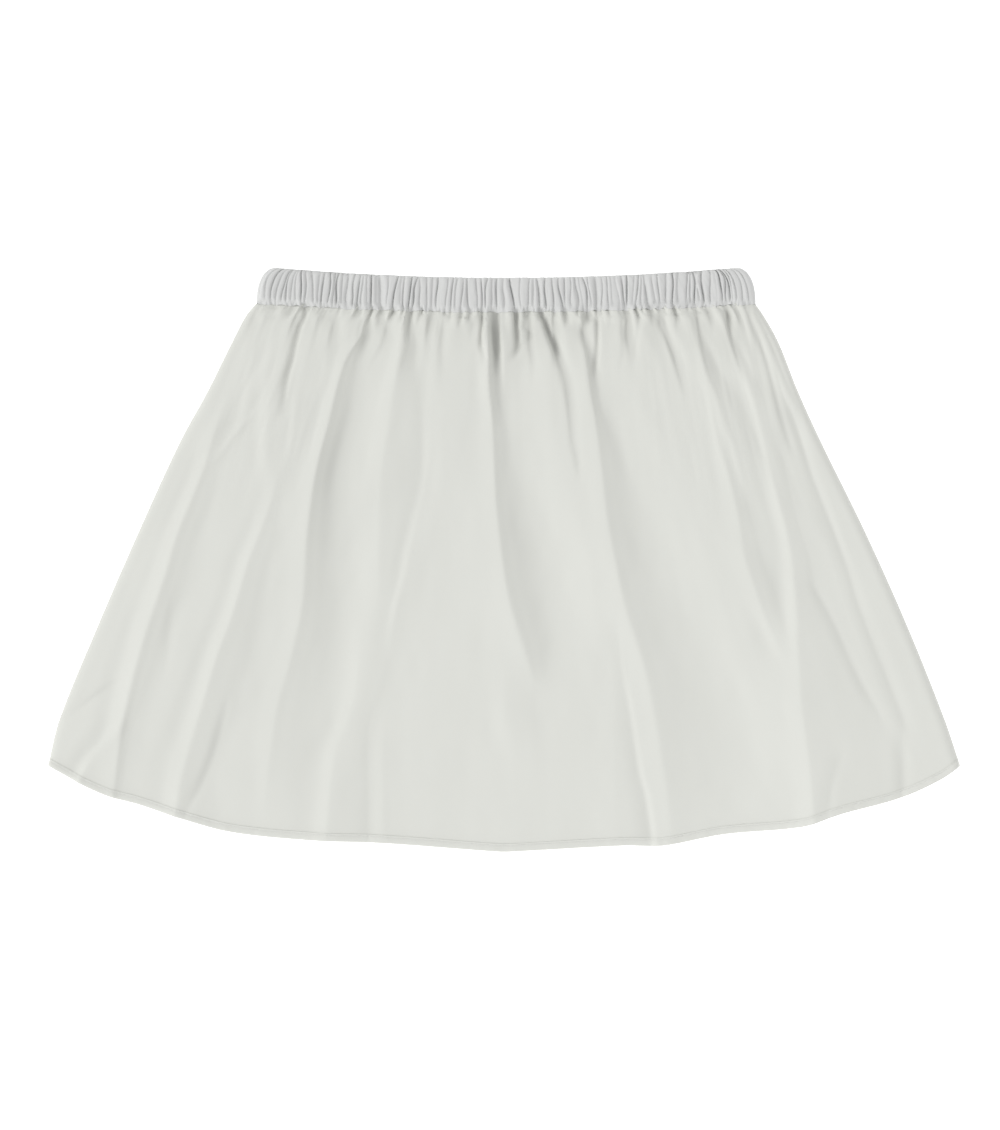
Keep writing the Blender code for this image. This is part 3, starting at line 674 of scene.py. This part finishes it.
def weave_group() -> bpy.types.NodeTree:
    """Make the node group of a plain weave: threads over and under each other, with uneven yarn.

    Returns:
        The group, with inputs Vector and Pitch, and outputs Height and Slub.
    """
    group = bpy.data.node_groups.new("plain_weave", "ShaderNodeTree")
    group.interface.new_socket("Vector", in_out="INPUT", socket_type="NodeSocketVector")
    group.interface.new_socket("Pitch", in_out="INPUT", socket_type="NodeSocketFloat")
    group.interface.new_socket("Height", in_out="OUTPUT", socket_type="NodeSocketFloat")
    group.interface.new_socket("Slub", in_out="OUTPUT", socket_type="NodeSocketFloat")
    nodes, links = group.nodes, group.links
    source, sink = nodes.new("NodeGroupInput"), nodes.new("NodeGroupOutput")

    def maths(operation: str, first: object, second: object = None) -> bpy.types.NodeSocket:
        node = nodes.new("ShaderNodeMath")
        node.operation = operation
        for place, value in enumerate((first, second)):
            if isinstance(value, bpy.types.NodeSocket):
                links.new(value, node.inputs[place])
            elif value is not None:
                node.inputs[place].default_value = value
        return node.outputs[0]

    split = nodes.new("ShaderNodeSeparateXYZ")
    links.new(source.outputs["Vector"], split.inputs[0])
    turns = maths("DIVIDE", math.pi, source.outputs["Pitch"])
    warp = maths("SINE", maths("MULTIPLY", split.outputs["X"], turns))
    weft = maths("SINE", maths("MULTIPLY", split.outputs["Y"], turns))
    over = maths("MULTIPLY", warp, weft)
    threads = maths("MULTIPLY", maths("ABSOLUTE", warp), maths("ABSOLUTE", weft))
    height = maths("ADD", maths("MULTIPLY", over, 0.35), threads)
    slub = nodes.new("ShaderNodeTexNoise")
    slub.inputs["Scale"].default_value = 900.0
    slub.inputs["Detail"].default_value = 3.0
    links.new(source.outputs["Vector"], slub.inputs["Vector"])
    links.new(maths("ADD", height, maths("MULTIPLY", slub.outputs[0], 0.5)), sink.inputs["Height"])
    links.new(slub.outputs[0], sink.inputs["Slub"])
    return group


@dataclass(frozen=True)
class CottonFinish:
    """Washed plain-weave cotton: matte, off-white, with a soft mottle and a fine weave.

    crease_shade is how far the crease attribute darkens the colour itself, on top of what the light does: painted
    shade in the creases.
    """

    name: str
    colour: tuple[float, float, float]
    shade: tuple[float, float, float]
    weave: Weave
    bump: float = 0.25
    roughness: float = 0.82
    sheen: float = 0.12
    crease_shade: float = 0.58

    def make(self, group: bpy.types.NodeTree) -> bpy.types.Material:
        """Make the cotton's material.

        Args:
            group: The plain weave node group.

        Returns:
            The material.
        """
        material = bpy.data.materials.new(self.name)
        material.use_nodes = True
        nodes, links = material.node_tree.nodes, material.node_tree.links
        shader = nodes["Principled BSDF"]
        shader.inputs["Sheen Weight"].default_value = self.sheen
        shader.inputs["Sheen Roughness"].default_value = 0.5
        shader.inputs["Specular IOR Level"].default_value = 0.25
        cut = nodes.new("ShaderNodeUVMap")
        cut.uv_map = "cut"
        weave = nodes.new("ShaderNodeGroup")
        weave.node_tree = group
        weave.inputs["Pitch"].default_value = self.weave.value * MM
        links.new(cut.outputs[0], weave.inputs["Vector"])
        place = nodes.new("ShaderNodeTexCoord")
        mottle = nodes.new("ShaderNodeTexNoise")
        mottle.inputs["Scale"].default_value = 14.0
        mottle.inputs["Detail"].default_value = 4.0
        links.new(place.outputs["Object"], mottle.inputs["Vector"])
        tint = nodes.new("ShaderNodeMix")
        tint.data_type = "RGBA"
        tint.inputs["A"].default_value = (*self.shade, 1.0)
        tint.inputs["B"].default_value = (*self.colour, 1.0)
        blend = nodes.new("ShaderNodeMath")
        blend.operation = "MULTIPLY_ADD"
        links.new(weave.outputs["Slub"], blend.inputs[0])
        blend.inputs[1].default_value = 0.35
        links.new(mottle.outputs[0], blend.inputs[2])
        links.new(blend.outputs[0], tint.inputs[0])
        # Painted shade: the crease attribute scales the base colour down by up to crease_shade.
        crease = nodes.new("ShaderNodeAttribute")
        crease.attribute_name = "crease"
        shadow = nodes.new("ShaderNodeMapRange")
        shadow.inputs["To Min"].default_value = 1.0
        shadow.inputs["To Max"].default_value = 1.0 - self.crease_shade
        links.new(crease.outputs["Fac"], shadow.inputs[0])
        dimmed = nodes.new("ShaderNodeVectorMath")
        dimmed.operation = "SCALE"
        links.new(tint.outputs["Result"], dimmed.inputs[0])
        links.new(shadow.outputs[0], dimmed.inputs["Scale"])
        links.new(dimmed.outputs[0], shader.inputs["Base Color"])
        rough = nodes.new("ShaderNodeMapRange")
        rough.inputs["To Min"].default_value = self.roughness - 0.05
        rough.inputs["To Max"].default_value = self.roughness + 0.08
        links.new(mottle.outputs[0], rough.inputs[0])
        links.new(rough.outputs[0], shader.inputs["Roughness"])
        relief = nodes.new("ShaderNodeBump")
        relief.inputs["Strength"].default_value = self.bump
        relief.inputs["Distance"].default_value = 0.0001
        links.new(weave.outputs["Height"], relief.inputs["Height"])
        links.new(relief.outputs[0], shader.inputs["Normal"])
        return material


# ----------------------------------------------------------------------------------------------------
# The pieces
# ----------------------------------------------------------------------------------------------------

def finished(piece: bpy.types.Object, finish: bpy.types.Material, slot: str, *nodes: str) -> bpy.types.Object:
    """Give a piece its material, parent it to the root body, and hide the CAD nodes that it stands for."""
    piece.data.materials.append(finish)
    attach(piece, "root")
    if nodes:
        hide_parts(*nodes)
    LOG.info("%s: %d faces", piece.name, len(piece.data.polygons))
    return piece


@dataclass
class FrontPanel:
    """The front panel, from under the waistband's edge to under the hem's upper edge.

    Part of its dark is painted shade. The crease attribute darkens the cloth's colour in its creases and
    towards the waist, and a table of soft patches, each (x, y, wide, tall, amount), paints shade where no crease
    is modelled, so these painted shadows stay dark in any light.
    """

    outline: Outline
    finish: bpy.types.Material
    cut_half: float = 350.0
    cut_length: float = 385.0
    thickness: float = 0.45
    tuck: float = 2.4
    tuck_sink: float = 2.3
    tuck_floor: float = 1.3
    crease_reach: int = 56
    crease_full: float = 4.4
    crease_power: float = 1.3
    # Painted shade: soft darker patches, each (x, y, wide, tall, amount), added to the crease attribute.
    painted_shade_patches: Points = (
        (14.0, 158.0, 13.0, 15.0, 0.13), (-6.5, 170.0, 5.0, 13.0, 0.16), (33.0, 162.0, 5.0, 10.0, 0.14),
        (-95.0, 40.0, 9.0, 28.0, 0.08), (-151.0, 120.0, 7.0, 18.0, 0.07), (-68.0, 56.0, 7.0, 18.0, 0.05),
        (157.0, 150.0, 14.0, 16.0, 0.07), (199.0, 98.0, 7.0, 16.0, 0.08),
    )
    columns: int = 430
    fine_columns: int = 2101
    rows: Points = ((2.4, 1.2), (8.0, 0.7), (17.0, 1.0), (44.0, 2.0), (360.0, 5.0), (374.4, 2.6))

    def surface(self, columns: int) -> tuple[Array, ...]:
        """Work out the outer face on a grid of rows and of columns that bunch where the cloth is steep.

        Args:
            columns: How many columns the grid has.

        Returns:
            x, y and z in mm, the cut's u and v in mm, and the painted shade amount from 0 to 1, mostly from the
            creases.
        """
        relief = FrontRelief(self.outline)
        down = ((grid_places(self.rows) - self.tuck) / self.outline.length)[:, None]
        places = np.linspace(-1.0, 1.0, self.fine_columns)
        fine_across, fine_down = np.broadcast_arrays(places[None, :], down)
        fine_x, _ = self.outline.skirt(fine_across, fine_down)
        fine_z = relief.height(fine_across, fine_down)
        across = even_columns(fine_x, fine_z, places, columns, pull=2.2)
        down = np.broadcast_to(down, across.shape)
        x, y = self.outline.skirt(across, down)
        x = x * np.where(down < 0.0, 0.985, 1.0)
        z = np.stack([np.interp(row, places, heights) for row, heights in zip(across, fine_z)])
        tucked = np.clip(-down * self.outline.length / self.tuck, 0.0, 1.0)
        z = np.maximum(z - self.tuck_sink * tucked, np.minimum(z, self.tuck_floor))
        # Painted shade: the crease amount darkens the cloth's colour in creases, towards the waist and in patches.
        deep = hollows(fine_z, self.crease_reach, self.crease_full)
        crease = np.stack([np.interp(row, places, depths) for row, depths in zip(across, deep)])
        # Painted shade: darker towards the waist seam and over the upper panel.
        painted_waist_shade = (0.06 * np.exp(-(down * self.outline.length / 28.0) ** 2)
                   + 0.045 * (1.0 - np.maximum(down, 0.0)) ** 1.5)
        crease = crease ** self.crease_power + painted_waist_shade
        # Add the painted shade patches to the crease amount.
        for middle, height, wide, tall, amount in self.painted_shade_patches:
            crease = crease + amount * np.exp(-((x - middle) / wide) ** 2 - ((y - height) / tall) ** 2)
        crease = np.minimum(crease, 1.0)
        return x, y, z, across * self.cut_half, -down * self.cut_length, crease

    def build(self) -> bpy.types.Object:
        *places, crease = self.surface(self.columns)
        piece = cloth_mesh("front_panel_cloth", *places, self.thickness, crease)
        return finished(piece, self.finish, "panel_cloth", "front_panel")


@dataclass
class BackPanel:
    """The back panel, which lies on the floor under the front one and lifts off it in shallow ridges."""

    outline: Outline
    finish: bpy.types.Material
    cut_half: float = 350.0
    cut_length: float = 385.0
    thickness: float = 0.45
    columns: int = 300
    rows: int = 110
    ridges: Points = (
        (-0.83, 0.02, 0.8, 5.0), (-0.66, -0.03, 1.1, 7.0), (-0.45, 0.04, 1.3, 8.0), (-0.2, -0.02, 1.0, 6.0),
        (0.06, 0.03, 1.4, 8.0), (0.33, -0.03, 1.2, 7.0), (0.52, 0.04, 1.0, 6.0), (0.76, 0.02, 1.2, 8.0),
    )

    def lift(self, across: Array, down: Array) -> Array:
        """Give how far the panel's underside stands off the floor, in mm."""
        half = self.outline.half_width(across, down)
        comb = GatherComb(seed=29, longest=60.0, depth=0.9, reach=1.6, extra=10)
        lift = -comb.relief(across, down, self.outline)
        for place, sway, height, reach in self.ridges:
            line = place + sway * np.sin(3.0 * down + 9.0 * place)
            wide = reach * (0.5 + 1.1 * np.clip(down, 0.0, 1.0))
            offset = (across - line) * half
            lift = lift + height * (1.0 - 0.55 * ease(down)) * bump(offset, wide, wide * 1.7)
        room = FrontRelief(self.outline).height(across, down) - 2.0 * self.thickness - 0.12
        return np.clip(np.minimum(lift, room), 0.0, None)

    def build(self) -> bpy.types.Object:
        low = -2.4 / self.outline.length
        across, down = np.meshgrid(np.linspace(-1, 1, self.columns), np.linspace(low, 0.9865, self.rows))
        x, y = self.outline.skirt(across, down)
        x = x * np.where(down < 0.0, 0.985, 1.0)
        z = self.thickness + self.lift(across, np.maximum(down, 0.0))
        piece = cloth_mesh("back_panel_cloth", x, y, z, across * self.cut_half, -down * self.cut_length,
                           self.thickness)
        return finished(piece, self.finish, "panel_cloth", "back_panel")


@dataclass
class Hem:
    """The narrow turned hems: doubled cloth that follows each panel's lower edge, and their stitches."""

    outline: Outline
    finish: bpy.types.Material
    thread: bpy.types.Material
    depth: float = 5.8
    raise_by: float = 0.22
    thickness: float = 1.0
    columns: int = 760
    rows: tuple[float, ...] = (5.8, 5.45, 4.9, 4.4, 3.9, 3.0, 1.9, 1.0, 0.4, 0.0)
    stitch_up: float = 4.5
    stitch_pitch: float = 2.9
    stitch_size: tuple[float, float, float] = (1.02, 0.2, 0.16)

    def profile(self, across: Array, up: Array) -> Array:
        """Give how the hem's face differs from the panel's: its rolled edge, stitched line and puckers."""
        share = np.clip(up / 1.0, 0.0, 1.0)
        roll = -0.55 * (1.0 - np.sqrt(share * (2.0 - share)))
        line = -0.3 * np.exp(-((up - self.stitch_up) / 0.6) ** 2)
        pucker = 0.2 * soft_noise(across, np.zeros_like(up), (190, 1), 9) * np.exp(-((up - 2.6) / 2.2) ** 2)
        return roll + line + pucker

    def front_z(self, across: Array, up: Array) -> Array:
        """Give the height of the front hem's outer face."""
        down = 1.0 - up / self.outline.length
        return FrontRelief(self.outline).height(across, down) + self.raise_by + self.profile(across, up)

    def strip(self, name: str, lower: bool) -> bpy.types.Object:
        """Lay one hem strip, on the floor when it is the lower one."""
        across, up = np.meshgrid(np.linspace(-1, 1, self.columns), np.array(self.rows))
        x, y = self.outline.skirt(across, 1.0 - up / self.outline.length)
        if lower:
            z = self.thickness + 0.0 * x
        else:
            z = self.front_z(across, up)
        return cloth_mesh(name, x, y, z, across * 350.0, up, self.thickness)

    def stitches(self, name: str, lower: bool) -> bpy.types.Object:
        """Sew one row of small stitches into a hem, as one joined mesh.

        Args:
            name: The piece's name.
            lower: Whether the row is on the back hem's underside.

        Returns:
            The new object.
        """
        random = np.random.default_rng(17)
        count = int(2.0 * 0.985 * self.outline.hem_half * 1.03 / self.stitch_pitch)
        across = np.linspace(-0.985, 0.985, count)
        step = 0.6 / self.outline.hem_half
        up = np.full(count, self.stitch_up)
        row = 1.0 - up / self.outline.length
        left = np.stack(self.outline.skirt(across - step, row), axis=1)
        right = np.stack(self.outline.skirt(across + step, row), axis=1)
        if lower:
            heights = np.full((2, count), 0.16)
        else:
            heights = np.stack([self.front_z(across - step, up), self.front_z(across + step, up)]) + 0.04
        rows = bmesh.new()
        for place in range(count):
            first = Vector((*left[place], heights[0, place]))
            last = Vector((*right[place], heights[1, place]))
            turn = (last - first).to_track_quat("X", "Z").to_matrix().to_4x4()
            size = Matrix.Diagonal((self.stitch_size[0] * random.uniform(0.9, 1.08), *self.stitch_size[1:], 1.0))
            move = Matrix.Translation((first + last) * (0.5 * MM))
            bmesh.ops.create_icosphere(rows, subdivisions=1, radius=MM, matrix=move @ turn @ size)
        data = bpy.data.meshes.new(name)
        rows.to_mesh(data)
        rows.free()
        data.shade_smooth()
        piece = bpy.data.objects.new(name, data)
        bpy.context.scene.collection.objects.link(piece)
        return piece

    def build(self, side: str) -> list[bpy.types.Object]:
        lower = side == "back"
        strip = finished(self.strip(f"hem_{side}_cloth", lower), self.finish, "hem_cloth", f"hem_{side}")
        row = finished(self.stitches(f"hem_{side}_stitches", lower), self.thread, "hem_cloth")
        return [strip, row]


@dataclass
class Waistband:
    """Both halves of the gathered casing, which close round the elastic at the top edge and the ends."""

    outline: Outline
    finish: bpy.types.Material
    cut_half: float = 260.0
    foot: float = 1.15
    rise: float = 3.7
    thickness: float = 0.5
    columns: int = 1040
    fine_columns: int = 3601
    rows: Points = ((0.35, 0.35), (1.4, 0.35), (4.0, 0.52), (24.4, 0.7))
    flow: float = 5.0
    crease_reach: int = 16
    crease_full: float = 1.2
    shoulder: float = 0.5
    scallop: float = 0.4

    def gathers(self) -> list[Gather]:
        """Give the placed gathers, and a shallow one or two wherever they leave a wide gap."""
        random = np.random.default_rng(6)
        placed = sorted(BAND_GATHERS, key=lambda gather: gather.x_low + gather.x_high)
        found = list(placed)
        for left, right in zip(placed, placed[1:]):
            gap = (right.x_low + right.x_high - left.x_low - left.x_high) / 2.0
            count = int(gap / random.uniform(4.0, 7.0))
            for place in range(1, count + 1):
                share = (place + random.uniform(-0.25, 0.25)) / (count + 1)
                low = left.x_low + (right.x_low - left.x_low) * share
                high = left.x_high + (right.x_high - left.x_high) * share
                found.append(Gather(low, high, random.uniform(0.08, 0.4), random.uniform(0.35, 0.6)))
        return sorted(found, key=lambda gather: gather.x_low + gather.x_high)

    def ribs(self, x: Array, up: Array) -> Array:
        """Give the rolls between neighbouring gathers, and the furrows at the gathers themselves."""
        random = np.random.default_rng(5)
        gathers, share = self.gathers(), up[:, 0]
        count = len(gathers)
        bow, sway = random.normal(0.0, 0.6, count), random.normal(0.0, 0.35, count)
        low = np.array([gather.x_low for gather in gathers])[:, None]
        high = np.array([gather.x_high for gather in gathers])[:, None]
        rolls, stand = random.uniform(0.3, 1.4, count + 1), random.uniform(-0.3, 0.3, count + 1)
        tilt = random.normal(0.0, 0.16, count + 1)
        lines = low + (high - low) * share + bow[:, None] * np.sin(math.pi * share)
        lines = lines + sway[:, None] * np.sin(2.0 * math.pi * share)
        height = np.zeros_like(x)
        for index in range(len(share)):
            edges = np.concatenate([[-self.outline.band_left], np.sort(lines[:, index]), [self.outline.band_right]])
            gap = np.clip(np.searchsorted(edges, x[index]) - 1, 0, len(edges) - 2)
            width = np.maximum(edges[gap + 1] - edges[gap], 0.8)
            t = np.clip((x[index] - edges[gap]) / width, 0.0, 1.0)
            height[index] = np.minimum(0.1 + 0.12 * width, 0.55) * rolls[gap] * (4.0 * t * (1.0 - t))
            height[index] += tilt[gap] * (t - 0.5) * np.minimum(width, 5.0)
            height[index] += np.interp(x[index], (edges[1:] + edges[:-1]) / 2.0, stand[:len(edges) - 1])
        for line, gather in zip(lines, gathers):
            middle, skew = random.uniform(0.25, 0.65), random.uniform(0.8, 1.6)
            strength = 2.1 * gather.depth * np.exp(-((share - middle) / 0.7) ** 2)
            offset = x - line[:, None]
            wide = np.where(offset < 0.0, gather.reach, gather.reach * skew)
            height -= strength[:, None] * np.exp(-np.abs(offset / wide) ** 1.3)
            height += 0.16 * strength[:, None] * np.exp(-((offset - 2.4 * gather.reach) / (0.9 * gather.reach)) ** 2)
        return height

    def front_z(self, across: Array, up: Array) -> Array:
        """Give the height of the front half's outer face."""
        x, _ = self.outline.band(across, up)
        unrounded = across * np.where(across < 0.0, self.outline.band_left, self.outline.band_right)
        x = x + (unrounded - x) * ease((np.abs(across) - 0.84) / 0.1)
        ends = np.clip((1.0 - np.abs(across)) * self.outline.band_half / 4.5, 0.0, 1.0)
        end = np.sqrt(ends * (2.0 - ends))
        scallop = 0.9 * soft_noise(across, 0.0 * up, (62, 1), 31) + 0.5 * soft_noise(across, 0.0 * up, (140, 1), 32)
        inward = (1.0 - up) * self.outline.band_height
        top = np.clip(inward / (2.6 + scallop), 0.0, 1.0)
        wall = self.shoulder * np.clip(inward / 0.35, 0.0, 1.0)
        body = self.rise * (wall + (1.0 - self.shoulder) * np.sqrt(top * (2.0 - top)))
        fine = 0.16 * soft_noise(across, up, (120, 3), 21) + 0.12 * soft_noise(across, up, (260, 5), 22)
        slope = 0.7 * (up - 0.4)
        ribs = (self.ribs(x, up) + fine) * (0.45 * wall / self.shoulder + 0.55 * np.sqrt(top)) - slope * np.sqrt(top)
        own = self.foot + np.maximum(body - 0.2 + ribs, 0.02) * end
        seam = FrontRelief(self.outline).height(across * self.outline.band_half / 175.5, np.zeros_like(up)) + 0.16
        near = np.clip(1.0 - up * self.outline.band_height / self.flow, 0.0, 1.0)
        near = near * near * (3.0 - 2.0 * near) * end
        tuck = 0.12 * np.exp(-((up * self.outline.band_height - 1.6) / 0.9) ** 2)
        return np.maximum(own * (1.0 - near) + seam * near - tuck * end, self.foot)

    def build_front(self) -> bpy.types.Object:
        rows = 1.0 - grid_places(self.rows) / self.outline.band_height
        places = np.linspace(-1.0, 1.0, self.fine_columns)
        fine_across, fine_up = np.meshgrid(places, rows)
        fine_x, _ = self.outline.band(fine_across, fine_up)
        fine_z = self.front_z(fine_across, fine_up)
        padded = np.pad(fine_z, ((0, 0), (2, 2)), mode="edge")
        fine_z = sum(weight * padded[:, k:k + fine_z.shape[1]] for k, weight in enumerate((1, 2, 3, 2, 1))) / 9.0
        across = even_columns(fine_x, fine_z, places, self.columns, pull=1.2)
        up = np.broadcast_to(rows[:, None], across.shape)
        x, y = self.outline.band(across, up)
        notch = np.clip(self.ribs(x[:1], np.ones_like(x[:1])), -1.4, 0.5) * ease((1.0 - np.abs(across)) / 0.04)
        y = y + self.scallop * notch * ease((up - 0.86) / 0.14)
        z = np.stack([np.interp(row, places, heights) for row, heights in zip(across, fine_z)])
        # Painted shade in the band's gathers, weaker at its lower edge and full over its upper part.
        deep = hollows(fine_z, self.crease_reach, self.crease_full)
        crease = np.stack([np.interp(row, places, depths) for row, depths in zip(across, deep)])
        crease = crease * (0.15 + 1.05 * ease(up * self.outline.band_height / 14.0))
        piece = cloth_mesh("waistband_front_casing", x, y, z, across * self.cut_half, up * 25.0, self.thickness, crease)
        return finished(piece, self.finish, "band_cloth", "waistband_front")

    def build_back(self) -> bpy.types.Object:
        across, up = np.meshgrid(np.linspace(-1, 1, 640), np.linspace(1, 0, 24))
        x, y = self.outline.band(across, up)
        lift = np.clip(0.35 - 0.55 * self.ribs(-x, up), 0.0, 1.1)
        hold = np.clip((1.0 - np.abs(across)) * self.outline.band_half / 6.0, 0.0, 1.0)
        z = self.thickness + lift * hold * np.clip((1.0 - up) * self.outline.band_height / 3.0, 0.0, 1.0)
        piece = cloth_mesh("waistband_back_casing", x, y, z, across * self.cut_half, up * 25.0, self.thickness)
        return finished(piece, self.finish, "band_cloth", "waistband_back")


# ----------------------------------------------------------------------------------------------------
# The studio
# ----------------------------------------------------------------------------------------------------

@dataclass
class Studio:
    """A pale floor, soft light and a camera that looks straight down."""

    view_width: float = 0.700
    view_centre: tuple[float, float] = (-0.0028, -0.00385)
    lens: float = 100.0
    sensor: float = 36.0
    floor_size: float = 6.0
    floor_glow: float = 0.65
    sky: float = 0.855
    key_from: tuple[float, float, float] = (-1.0, -0.38, 0.74)
    key_energy: float = 1.2
    key_softness: float = 0.5

    def build(self) -> None:
        """Lay the floor, hang the lights and place the camera."""
        self.lay_floor()
        self.light()
        self.place_camera()
        bpy.context.scene.view_settings.view_transform = "Standard"

    def lay_floor(self) -> None:
        """Lay a plain pale floor, just below the skirt."""
        plane = bmesh.new()
        bmesh.ops.create_grid(plane, x_segments=1, y_segments=1, size=self.floor_size / 2.0)
        data = bpy.data.meshes.new("floor")
        plane.to_mesh(data)
        plane.free()
        floor = bpy.data.objects.new("floor", data)
        bpy.context.scene.collection.objects.link(floor)
        floor.location = (0.0, 0.0, 0.0)
        material = bpy.data.materials.new("floor_white")
        material.use_nodes = True
        shader = material.node_tree.nodes["Principled BSDF"]
        shader.inputs["Base Color"].default_value = (0.95, 0.95, 0.95, 1.0)
        shader.inputs["Roughness"].default_value = 1.0
        shader.inputs["Specular IOR Level"].default_value = 0.0
        shader.inputs["Emission Color"].default_value = (1.0, 1.0, 1.0, 1.0)
        shader.inputs["Emission Strength"].default_value = self.floor_glow
        data.materials.append(material)

    def light(self) -> None:
        """Light the skirt evenly from all round, with a soft key from the left."""
        world = bpy.data.worlds.new("studio")
        world.use_nodes = True
        background = world.node_tree.nodes["Background"]
        background.inputs["Color"].default_value = (1.0, 1.0, 1.0, 1.0)
        background.inputs["Strength"].default_value = self.sky
        bpy.context.scene.world = world
        lamp = bpy.data.lights.new("key", "SUN")
        lamp.energy = self.key_energy
        lamp.angle = self.key_softness
        holder = bpy.data.objects.new("key", lamp)
        holder.rotation_euler = (-Vector(self.key_from)).to_track_quat("-Z", "Y").to_euler()
        bpy.context.scene.collection.objects.link(holder)

    def place_camera(self) -> None:
        """Place the camera straight above, so that the view is view_width wide on the floor."""
        camera = bpy.data.cameras.new("camera")
        camera.lens = self.lens
        camera.sensor_fit = "HORIZONTAL"
        camera.sensor_width = self.sensor
        holder = bpy.data.objects.new("camera", camera)
        holder.location = (*self.view_centre, self.view_width * self.lens / self.sensor)
        bpy.context.scene.collection.objects.link(holder)
        bpy.context.scene.camera = holder


def main() -> None:
    logging.basicConfig(level=logging.INFO, format="%(message)s")
    outline = outline_of_frame()
    weave = weave_group()
    panel_cloth = CottonFinish("panel_cotton", (0.694, 0.701, 0.661), (0.668, 0.675, 0.635), Weave.POPLIN).make(weave)
    hem_cloth = CottonFinish("hem_cotton", (0.694, 0.701, 0.661), (0.668, 0.675, 0.635), Weave.POPLIN).make(weave)
    # Painted shade: the band's cloth is darker and greyer than the panels', standing in for the shade among its
    # gathers.
    band_cloth = CottonFinish("band_cotton", (0.625, 0.63, 0.623), (0.592, 0.597, 0.59), Weave.CASING,
                              crease_shade=0.16).make(weave)
    thread = CottonFinish("hem_thread", (0.70, 0.705, 0.68), (0.66, 0.665, 0.64), Weave.CASING, bump=0.1).make(weave)
    front = FrontPanel(outline, panel_cloth).build()
    back = BackPanel(outline, panel_cloth).build()
    hem = Hem(outline, hem_cloth, thread)
    front_hem, back_hem = hem.build("front"), hem.build("back")
    band = Waistband(outline, band_cloth)
    band_front, band_back = band.build_front(), band.build_back()
    Studio().build()


if __name__ == "__main__":
    main()
